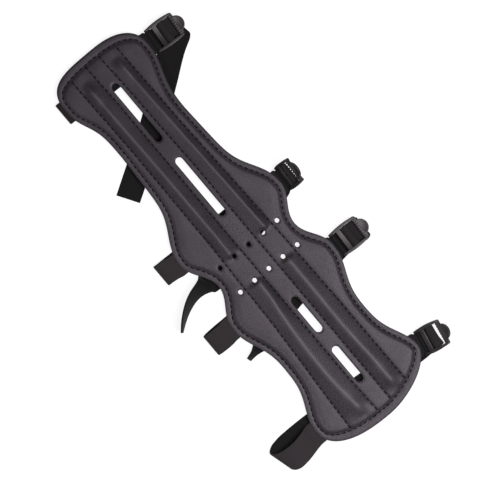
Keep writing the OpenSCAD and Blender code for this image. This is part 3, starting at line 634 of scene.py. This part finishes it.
def lining_piece():
    """The lining over the whole panel. Its area is that of the cells of the grid that lie on it."""
    def area(x, y):
        return panel_field(x, y, 0.05, 0.15)
    def under(x, y):
        """Slightly pulled up along every seam, by exp(-(d / 1) ** 2)."""
        z = 0.3 * near(into_panel(x, y)[1], 1.0)
        for line_y, line_x in SEAM_LINES:
            z = z + 0.3 * near(x - np.interp(y, line_y, line_x), 1.0)
        return np.minimum(z, 0.5)
    xs, ys = grid(CLOTH_CELL)
    points, faces, flat, _ = clipped_sheet(xs, ys, area, level(LINING_T), under)
    lining = new_piece("lining_cloth", points, faces, LINING, flat, crisp=40)
    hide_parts("back_lining")
    kept = np.sum(area(*np.meshgrid(xs, ys, indexing="ij")) > 0)
    return lining


# ---------------------------------------------------------------- stitches
def along_path(path, pitch):
    """Points at every pitch along a polyline, with its direction from each to 0.2 mm further on."""
    steps = np.hypot(*np.diff(path, axis=0).T)
    s = np.concatenate([[0], np.cumsum(steps)])
    at = np.arange(pitch / 2, s[-1], pitch)
    p = np.stack([np.interp(at, s, path[:, i]) for i in (0, 1)], -1)
    q = np.stack([np.interp(at + 0.2, s, path[:, i]) for i in (0, 1)], -1)
    return p, np.arctan2(*(q - p).T[::-1])


def border_path():
    """The outline moved inwards by the seam's depth, measured along the outline's normal."""
    t = unit(np.roll(OUTLINE, -1, 0) - np.roll(OUTLINE, 1, 0))
    path = OUTLINE + np.stack([-t[:, 1], t[:, 0]], -1) * seam_depth(t[:, 0] ** 2)[:, None]
    return np.concatenate([path, path[:1]])


def line_path(k, steps=300):
    """Seam line k, from the border seam at the upper arm end to the one at the wrist end."""
    y = np.linspace(-UPPER_REACH + 1, WRIST_REACH - 1, steps)
    x = np.interp(y, *SEAM_LINES[k])
    return np.stack([x, y], -1)[into_panel(x, y)[1] > 1]


def seam_stitches(name, path, height, up, r):
    """Thread stitches along a path, 0.6 mm or more from every vent. Each is a tube with u from -1 to 1
    along it, which arches by 1 - u ** 2, dips into the surface at both ends and thins there by the
    root of 1 - (0.93 u) ** 4. up is 1 on the leather, and -1 below the lining."""
    p, angle = along_path(path, STITCH_PITCH)
    clear = vents_field(p[:, 0], p[:, 1]) > 0.6
    p, angle = p[clear], angle[clear]
    u = np.linspace(-1, 1, STITCH_RINGS)[:, None]
    a = np.arange(STITCH_SIDES)[None] * 2 * math.pi / STITCH_SIDES
    swell = r * np.sqrt(np.clip(1 - (np.abs(u) * 0.93) ** 4, 0, 1))
    along, aside = u * STITCH_LENGTH / 2, swell * np.cos(a)
    rise = up * (0.45 * (1 - u ** 2) - 0.12 + swell * np.sin(a))
    c, s = np.cos(angle)[:, None, None], np.sin(angle)[:, None, None]
    x = p[:, 0, None, None] + along * c - aside * s
    y = p[:, 1, None, None] + along * s + aside * c
    z = height(p[:, 0], p[:, 1])[:, None, None] + rise
    one = [f[::up] for f in tube_faces(STITCH_RINGS, STITCH_SIDES)]
    faces = [[v + STITCH_RINGS * STITCH_SIDES * k for v in f] for k in range(len(p)) for f in one]
    flat = np.stack(np.broadcast_arrays(a / (2 * math.pi), u), -1).reshape(-1, 2)
    points = np.stack([x, y, z], -1).reshape(-1, 3)
    return new_piece(name, points, faces, THREAD, np.tile(flat, (len(p), 1)))


def stitch_pieces():
    """The thread of the border and of the four lines, on the leather and below the lining."""
    made = []
    for name, path in [("border", border_path()), *((f"line_{k + 1}", line_path(k)) for k in range(4))]:
        made.append(seam_stitches(f"{name}_stitches", path, leather_top, 1, STITCH_R))
        made.append(seam_stitches(f"{name}_bobbin_stitches", path, level(BOBBIN_Z), -1, BOBBIN_R))
    return made


# ---------------------------------------------------------------- straps
def hinge_at(k):
    """Middle of buckle k's bar, its height measured from the lining's underside."""
    y = STRAP_Y[k] + SHIFT[k]
    return np.array([float(edge_at(y, 1)) + LOOP_OUT[k], y, HINGE_Z])


def at_buckle(k, lx, lz):
    """Knot on buckle k, at lx along its frame and lz above it."""
    a, t, h = math.radians(TILT[k]), math.radians(TURN[k]), hinge_at(k)
    x, z = lx * math.cos(a) - lz * math.sin(a), lx * math.sin(a) + lz * math.cos(a)
    return np.array([h[0] + x * math.cos(t), h[1] + x * math.sin(t), LIFT + h[2] + z,
                     -TURN[k], 0, THREADED_W])


def through_windows(k):
    """Up behind the middle bar, over it and down before the lip, closer round it on a steep buckle."""
    over = [at_buckle(k, MID_X - 3.1, -1.3), at_buckle(k, MID_X - 2.35, MID_Z + 0.5),
            at_buckle(k, MID_X, MID_Z + MID_R + ELASTIC_T / 2 + 0.2)]
    if TILT[k] > STEEP:
        return over + [at_buckle(k, MID_X + 1.75, MID_Z + 0.85), at_buckle(k, MID_X + 1.95, MID_Z - 0.45),
                       at_buckle(k, MID_X + 1.2, MID_Z - 1.7)]
    return over + [at_buckle(k, MID_X + 2.3, MID_Z + 0.4), at_buckle(k, MID_X + 2.9, -0.9)]


def flat_approach(k):
    """From the run under the panel up to a buckle that lies flat."""
    h, w, s = hinge_at(k), THREADED_W, math.sin(math.radians(TURN[k]))
    return [[h[0] - 6, h[1], RUN_Z, 0, 0, w], [h[0] + 5, h[1] + 5 * s, RUN_Z, -TURN[k], 0, w],
            [h[0] + 7.8, h[1] + 8 * s, RUN_Z + 0.5, -TURN[k], 0, w]]


def flat_leave(k, yaw, drop):
    """Over the lip of a flat buckle and down to the table, where the tail turns to yaw."""
    h, s = hinge_at(k), math.sin(math.radians(TURN[k]))
    return [at_buckle(k, LIP_X - 1, -1.4), at_buckle(k, LIP_X + 2.3, -1.45),
            at_buckle(k, LIP_X + 4.4, -3.3) + [0, drop * 0.3, 0, yaw * 0.3, 0, 0],
            [h[0] + LIP_X + 2.2, h[1] + (LIP_X + 2.4) * s + drop, TAIL_Z, yaw * 0.7, 0, THREADED_W]]


def tilted_approach(k):
    """From the run under the panel up into a tilted buckle."""
    h, w, t = hinge_at(k), THREADED_W, math.radians(TURN[k])
    c, s = math.cos(t), math.sin(t)
    return [[h[0] - 8, h[1] - 6 * s, RUN_Z, -0.4 * TURN[k], 0, w],
            [h[0] - 3 * c, h[1] - 3 * s, RUN_Z - 0.05, -0.85 * TURN[k], 0, w],
            [h[0] + 1.8 * c, h[1] + 1.8 * s, LIFT + h[2] - 3.1, -TURN[k], 0, w],
            at_buckle(k, 6.2, -2.5) + [0, 0, -0.2 if TILT[k] > STEEP else 0, 0, 0, 0]]


def tilted_leave(k, yaw):
    """Down from a tilted buckle's second window and back under the panel, where the tail turns to yaw."""
    e, w = through_windows(k)[-1], THREADED_W
    return [[e[0] + 0.2, e[1], e[2] * 0.72, 0.1 * yaw, 0, w], [e[0], e[1], e[2] * 0.4, 0.2 * yaw, 0, w],
            [e[0] - 1.8, e[1], 2.6, 0.4 * yaw, 0, w], [e[0] - 4.6, e[1] - 0.3, 1.1, 0.7 * yaw, 0, w],
            [e[0] - 8.6, e[1] - 0.5, TAIL_Z, 0.8 * yaw, 0, w]]


def strap_knots(k):
    """Knots of strap k: x, y, height over the table, turn in plan, lift of the wrist side, width."""
    y, w, e = STRAP_Y[k], ELASTIC_W, -float(edge_at(STRAP_Y[k], -1))
    if k == 0:
        r = (SEWN_Z - RUN_Z) / 2
        return [[e + 16, y, SEWN_Z, 0, 0, w], [e - 0.1, y, SEWN_Z, 0, 0, w],
                [e - 1.4, y, SEWN_Z, 0, 0, w], [e - 1.4 - r * 0.7, y, SEWN_Z - r * 0.3, 0, 0, w],
                [e - 1.4 - r, y, SEWN_Z - r, 0, 0, w],
                [e - 1.4 - r * 0.7, y, RUN_Z + r * 0.3, 0, 0, w], [e - 1.4, y, RUN_Z, 0, 0, w],
                [e - 0.1, y, RUN_Z, 0, 0, w], [e + 10, y - 0.3, RUN_Z, 2, 0, w],
                [-2, y - 2.3, RUN_Z, 5, 0, w], [22, y - 2.4, RUN_Z, 0, 0, w],
                *flat_approach(0), *through_windows(0), *flat_leave(0, -33.5, -5),
                [60.4, 175.8, TAIL_Z, -33.5, 0, 21.4], [33, 156.8, TAIL_Z, -33.5, 0, 21.2],
                [0, 133, TAIL_Z, -33.2, 0, 21.2], [-30, 114.8, TAIL_Z, -32.5, 0, 20.2],
                [-50.8, 102.1, TAIL_Z, -32, 0, 20]]
    if k == 1:
        return [[e + 16, y, SEWN_Z, 0, 0, w], [e - 0.2, y, SEWN_Z, 0, 0, w],
                [e - 2.5, y, SEWN_Z, 0, 0, w], [e - 8, y + 1, SEWN_Z + 0.9, -3, 0, w],
                [e - 14.5, y + 1.8, SEWN_Z + 0.4, 0, 0, w], [e - 17, y + 1.9, 3.6, 0, 0, w],
                [e - 14.5, y + 1.8, 1.2, 0, 0, w], [e - 8, y + 1.7, TAIL_Z, 0, 0, w],
                [e - 1, y + 1.5, 1.6, 0, 0, w], [e + 8, y + 1.2, RUN_Z, 0, 0, w],
                [10, y + 0.6, RUN_Z, 0, 0, w],
                *tilted_approach(1), *through_windows(1), *tilted_leave(1, -15.6),
                [48, 31.8, TAIL_Z, -15.6, 0, w], [14.8, 22.5, TAIL_Z, -15.6, 0, w],
                [-15, 14.2, TAIL_Z, -14, 0, w], [-34, 9.8, TAIL_Z, -9, 0, w],
                [-41, 9.4, 0.8, -6, 0.5, w], [-45, 9.5, 2.2, -6, 9, w], [-48, 9.5, 6.9, -7, 40, w],
                [-52, 9.6, 8.5, -8, 54, w], [-57, 9.3, 9, -10, 62, w], [-62.5, 8, 9.3, -15, 67.5, w],
                [-69, 5.2, 9.5, -22, 73, w], [-75, 1.6, 9.7, -30, 78, w], [-81, -2.9, 9.8, -36, 83, w],
                [-86.2, -7.6, 9.82, -41, 88, w]]
    if k == 2:
        return [[e + 16, y, SEWN_Z, 0, 0, w], [e - 0.2, y, SEWN_Z, 0, 0, w],
                [e - 2.5, y, SEWN_Z, 0, 0, w], [e - 8, y - 0.6, SEWN_Z + 1.6, 0, 0, w],
                [e - 16, y - 0.6, SEWN_Z + 2, 0, 0, w], [e - 20, y - 0.3, 6.6, 0, 0, w],
                [e - 21.6, y, 4.3, 0, 0, w], [e - 20, y + 0.4, 2, 0, 0, w],
                [e - 15, y + 0.7, 0.9, 0, 0, w], [e - 8, y + 0.8, TAIL_Z, 0, 0, w],
                [e - 1, y + 0.8, 1.6, 0, 0, w], [e + 8, y + 0.9, RUN_Z, 0, 0, w],
                [10, y + 0.6, RUN_Z, 0, 0, w],
                *flat_approach(2), *through_windows(2), *flat_leave(2, -7, -2),
                [66, -35, TAIL_Z, -7, 0, w], [30, -38.6, TAIL_Z, -7, 0, w],
                [0, -42.2, TAIL_Z, -10, 0, w], [-30, -49.4, TAIL_Z, -15, 0, w],
                [-41, -53.9, 0.8, -15, 0.6, 15], [-46, -55.6, 1.2, -15, 5, 11],
                [-49.5, -56.5, 3.6, -14, 38, 10], [-53, -57.2, 4.6, -13, 58, 9.5],
                [-56.5, -57.9, 4.8, -12, 66, 9.5], [-59.3, -58.4, 4.8, -12, 70, 9]]
    return [[e + 16, y, SEWN_Z, 0, 0, w], [e - 0.2, y, SEWN_Z, 0, 0, w], [e - 2, y, SEWN_Z, 0, 0, w],
            [e - 5, y - 0.4, SEWN_Z + 0.9, 2, 0, w], [e - 11, y - 1.8, 9, 6, 0, w],
            [e - 20, y - 3.4, 11, 6, 0, w], [e - 29, y - 3.3, 11.2, -2, 0, w],
            [e - 35, y - 1, 9, -12, 0, w], [e - 36.6, y + 2.2, 5.6, -16, 0, w],
            [e - 34, y + 5, 2.6, -12, 0, w], [e - 27, y + 6.8, 0.95, -4, 0, w],
            [e - 18, y + 7.2, TAIL_Z, 0, 0, w], [e - 6, y + 7.1, 0.9, 2, 0, w],
            [e + 3, y + 6.8, 1.9, 2, 0, w], [e + 12, y + 6.4, RUN_Z, 2, 0, w],
            [0, y + 4.6, RUN_Z, 2, 0, w], [36, y + 1, RUN_Z, 4, 0, w],
            *tilted_approach(3), *through_windows(3), *tilted_leave(3, 0),
            [50, -139, TAIL_Z, -1, 0, w], [20, -138.5, TAIL_Z, -1, 0, w], [-28, -138, TAIL_Z, 0, 0, w]]


def glide(a, b, slope_a, slope_b, t):
    """Cubic from a at t = 0 to b at t = 1, with those slopes there."""
    return (2 * t ** 3 - 3 * t ** 2 + 1) * a + (t ** 3 - 2 * t ** 2 + t) * slope_a \
        + (3 * t ** 2 - 2 * t ** 3) * b + (t ** 3 - t ** 2) * slope_b


def strap_line(knots, steps=10, longest=1.1):
    """Cubic through the knots that keeps a heading at each: the two neighbouring spans, the shorter
    counting more. Turn, lift and width pass through theirs at the harmonic mean of the neighbouring
    rates, so they never overshoot. A span has at least steps rows, and more where they would be
    further apart than longest. The line is raised where it would reach below the table."""
    knots = np.array(knots, float)
    place, rest = knots[:, :3], knots[:, 3:]
    span = np.diff(place, axis=0)
    length = np.linalg.norm(span, axis=1)[:, None]
    head = unit(np.concatenate([
        span[:1], span[:-1] * length[1:] / length[:-1] + span[1:] * length[:-1] / length[1:], span[-1:]]))
    rate = np.diff(rest, axis=0) / length
    both, total = rate[:-1] * rate[1:], rate[:-1] + rate[1:]
    mean = np.where(both > 0, 2 * both / np.where(both > 0, total, 1), 0)
    rate = np.concatenate([rate[:1], mean, rate[-1:]])
    rows = np.maximum(steps, np.ceil(length[:, 0] / longest)).astype(int)
    i = np.repeat(np.arange(len(rows)), rows)
    t = np.concatenate([np.arange(r) / r for r in rows])[:, None]
    line, rest = (
        np.concatenate([glide(v[i], v[i + 1], length[i] * slope[i], length[i] * slope[i + 1], t), v[-1:]])
        for v, slope in ((place, head), (rest, rate)))
    roll = np.radians(rest[:, 1])
    reach = ELASTIC_T / 2 * np.cos(roll) + rest[:, 2] / 2 * np.abs(np.sin(roll))
    line[:, 2] = np.maximum(line[:, 2], reach)
    return line, rest


def flat_section(width, thick, cols=13):
    """Closed section of a tape, as places across and heights: flat faces and rounded edges. The four
    points of the left edge run upwards, so the section crosses itself there, within half a thickness."""
    s, r = np.linspace(-1, 1, cols), thick / 2
    side = np.radians(np.linspace(60, -60, 4))
    top = np.stack([s[::-1] * (width / 2 - r), np.full(cols, r)], -1)
    right = np.stack([width / 2 - r + r * np.cos(side), r * np.sin(side)], -1)
    return np.concatenate([top, -right, -top, right[::-1]])


def tape(name, line, widths, across, finish, thick, **by_row):
    """A tape along a line: at each point its section lies in the plane of across and the tape's normal.
    by_row holds numbers for each point of the line that its finish reads."""
    normal = unit(np.cross(across, unit(np.gradient(line, axis=0))))
    thick = np.broadcast_to(thick, len(line))
    width = float(np.mean(widths))
    ring = flat_section(width, thick.max())
    share, thinned = ring[:, 0] / (width / 2), thick / thick.max()
    points = line[:, None] + across[:, None] * (share[None, :, None] * widths[:, None, None] / 2) \
        + normal[:, None] * (ring[None, :, 1] * thinned[:, None])[..., None]
    s = np.concatenate([[0], np.cumsum(np.linalg.norm(np.diff(line, axis=0), axis=1))])
    flat = np.stack(np.broadcast_arrays(ring[None, :, 0], s[:, None]), -1).reshape(-1, 2)
    floats = {key: np.repeat(values, len(ring)) for key, values in by_row.items()}
    return new_piece(name, points.reshape(-1, 3), tube_faces(len(line), len(ring)), finish, flat, floats,
                     crisp=50)


def strap_piece(k, name):
    """Strap k along its knots. At a steep buckle it is thinner and closer round the middle bar. It
    carries a painted highlight from its start to where the line reaches furthest left, and near the bar."""
    line, rest = strap_line(strap_knots(k))
    yaw, roll = np.radians(rest[:, 0]), np.radians(rest[:, 1])
    across = np.stack([np.sin(yaw) * np.cos(roll), np.cos(yaw) * np.cos(roll), np.sin(roll)], -1)
    line = line - [0, 0, LIFT]
    bar = at_buckle(k, MID_X, MID_Z)[:3] - [0, 0, LIFT]
    away = np.linalg.norm(line - bar, axis=1)
    drawn = near(away, 3.2, 4) * (TILT[k] > STEEP)
    inward = unit(bar - line) * (0.5 * drawn)[:, None]
    past = np.arange(len(line)) - line[:100, 0].argmin()
    # Painted highlight on the lit top of the strap's fold at the panel's edge, and near the bar.
    worn = np.clip(LOOP_HIGHLIGHT[k] * (1 - smooth(-4, 4, past)) + 0.55 * near(away, 8, 4), 0, 1)
    made = tape(f"{name}_elastic", line + inward, rest[:, 2], across, ELASTIC,
                (ELASTIC_T - TAPE_SPARE) * (1 - 0.45 * drawn), worn=worn)
    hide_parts(f"{name}_strap")
    return made


def webbing_piece(k, name):
    """Doubled webbing: in flat under the leather, round the bar on a circle, and back below itself."""
    r = BAR_R + 0.08 + WEBBING_T / 2
    seat, half = LINING_T - 0.5 + WEBBING_T - HINGE_Z, WEBBING_T / 2 + 0.01
    h, t = hinge_at(k), math.radians(TURN[k])
    flat_to = -LOOP_OUT[k] + 0.4 + WEBBING_W / 2 * abs(math.sin(t))
    x = np.linspace(-LOOP_OUT[k] - LOOP_IN, flat_to, 12)
    a, s = np.radians(np.linspace(90, -90, 25)), np.linspace(0, 1, 8)[1:-1]
    side = np.concatenate([
        np.stack([x, np.full(len(x), seat + half)], -1),
        np.stack([flat_to * (1 - s), seat + half + (r - seat - half) * smooth(0, 1, s)], -1),
        r * np.stack([np.cos(a), np.sin(a)], -1),
        np.stack([flat_to * s, -r + (seat - half + r) * smooth(0, 1, s)], -1),
        np.stack([x[::-1], np.full(len(x), seat - half)], -1)])
    line = h + np.stack([side[:, 0] * math.cos(t), side[:, 0] * math.sin(t), side[:, 1]], -1)
    across = np.broadcast_to(np.array([-math.sin(t), math.cos(t), 0.0]), line.shape)
    widths = WEBBING_W - 0.1 + (EYE_W - WEBBING_W) * smooth(-RAIL_R - 1.1, -RAIL_R - 0.55, side[:, 0])
    made = tape(f"{name}_webbing", line, widths, across, WEBBING, WEBBING_T - TAPE_SPARE)
    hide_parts(f"{name}_webbing_loop")
    return made


def buckle_piece(name):
    """A copy of the moulded buckle with its sharp edges rounded, as they leave the mould."""
    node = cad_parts[f"{name}_buckle"]
    solid = bmesh.new()
    solid.from_mesh(node.data)
    solid.transform(node.matrix_world)
    bmesh.ops.remove_doubles(solid, verts=solid.verts, dist=0.002 * MM)
    bmesh.ops.dissolve_limit(solid, angle_limit=math.radians(1), verts=solid.verts, edges=solid.edges)
    least = math.radians(BEVEL_FROM)
    sharp = [e for e in solid.edges if e.is_manifold and abs(e.calc_face_angle(0)) > least]
    bmesh.ops.bevel(solid, geom=sharp, offset=BEVEL * MM, segments=2, profile=0.5, affect="EDGES",
                    clamp_overlap=True)
    bmesh.ops.triangulate(solid, faces=[f for f in solid.faces if len(f.verts) > 4])
    mesh = bpy.data.meshes.new(f"{name}_ladder_lock")
    solid.to_mesh(mesh)
    solid.free()
    made = finished(mesh, NYLON, crisp=40)
    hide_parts(f"{name}_buckle")
    return made


# ---------------------------------------------------------------- making
LEATHER, ELASTIC, FELT = leather_finish(), elastic_finish(), felt_finish()
WEBBING = woven_finish("black_webbing", "webbing", 1.5, (0.004, 0.0036, 0.004), (0.011, 0.0097, 0.0108))
LINING = woven_finish("black_lining", "lining", 0.9, (0.010, 0.010, 0.011), (0.040, 0.039, 0.042))
THREAD, NYLON, ROD = thread_finish(), moulded_finish(), stay_finish()

for piece in [leather_piece(), felt_piece(), lining_piece()] + stitch_pieces():
    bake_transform(piece)

for k, name in enumerate(("wrist", "forearm", "elbow", "upper_arm")):
    half = "forearm" if k < 2 else "upper_arm"
    start, end = (((hinge_at(k)[0] + place) * MM, 0, 0) for place in STRAP_BEND)
    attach(webbing_piece(k, name), half)
    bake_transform(strap_piece(k, name))
    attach(buckle_piece(name), f"buckle_{name}")
for name in ("forearm_stay_left", "forearm_stay_right", "upper_arm_stay_left", "upper_arm_stay_right"):
    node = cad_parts[name]
    node.data.materials.clear()
    node.data.materials.append(ROD.material)


# ---------------------------------------------------------------- floor, light and camera
def wired(tree, kind, *sources, **values):
    """The first output of a new node, with the sources on its first inputs and values set by name."""
    made = tree.nodes.new(kind)
    for socket, source in zip(made.inputs, sources):
        tree.links.new(source, socket)
    for key, value in values.items():
        made.inputs[key.replace("_", " ")].default_value = value
    return made.outputs[0]


def white_floor():
    """A floor that the camera sees as plain white but for the soft shadow, and the object as grey."""
    mesh = bpy.data.meshes.new("floor")
    s, z = FLOOR_HALF, -LIFT * MM - FLOOR_GAP
    mesh.from_pydata([(-s, -s, z), (s, -s, z), (s, s, z), (-s, s, z)], [], [(0, 1, 2, 3)])
    floor = bpy.data.objects.new("floor", mesh)
    bpy.context.scene.collection.objects.link(floor)
    material = bpy.data.materials.new("pale_floor")
    material.use_nodes = True
    tree = material.node_tree
    tree.nodes.clear()
    seen = wired(tree, "ShaderNodeLightPath")
    matt = wired(tree, "ShaderNodeBsdfDiffuse", Color=(0.85, 0.85, 0.85, 1))
    glow = wired(tree, "ShaderNodeEmission", Color=(1, 1, 1, 1), Strength=0.88)
    dim = wired(tree, "ShaderNodeBsdfDiffuse", Color=(0.22, 0.22, 0.22, 1))
    white = wired(tree, "ShaderNodeAddShader", glow, dim)
    tree.links.new(wired(tree, "ShaderNodeMixShader", seen, matt, white),
                   tree.nodes.new("ShaderNodeOutputMaterial").inputs["Surface"])
    mesh.materials.append(material)


def studio():
    """A dim surround that the camera sees as white, and one large lamp with a weaker one from the side.
    Each lamp points at the middle of the guard."""
    world = bpy.data.worlds.new("studio")
    bpy.context.scene.world = world
    world.use_nodes = True
    tree = world.node_tree
    seen = wired(tree, "ShaderNodeLightPath")
    bright = wired(tree, "ShaderNodeMapRange", seen, To_Min=0.15, To_Max=1.0)
    tree.links.new(bright, tree.nodes["Background"].inputs["Strength"])
    for name, (place, size, power) in LAMPS.items():
        lamp = bpy.data.lights.new(name, "AREA")
        lamp.size, lamp.energy = size, power
        made = bpy.data.objects.new(name, lamp)
        made.location = place
        x, y, z = -np.array(place)
        made.rotation_euler = (math.atan2(math.hypot(x, y), -z), 0, math.atan2(y, x) - math.pi / 2)
        bpy.context.scene.collection.objects.link(made)


def photo_camera():
    """Straight down, turned as the photo is. The side of the picture is PICTURE_SIDE at the guard."""
    lens = bpy.data.cameras.new("camera")
    lens.sensor_width = SENSOR
    lens.lens = SENSOR * CAMERA_HEIGHT / PICTURE_SIDE
    lens.clip_end = 50
    camera = bpy.data.objects.new("camera", lens)
    camera.location = (CAMERA_AT[0] * MM, CAMERA_AT[1] * MM, CAMERA_HEIGHT)
    camera.rotation_euler = (0, 0, math.radians(CAMERA_TURN))
    bpy.context.scene.collection.objects.link(camera)
    bpy.context.scene.camera = camera


white_floor()
studio()
photo_camera()
bpy.context.scene.view_settings.view_transform = "Standard"
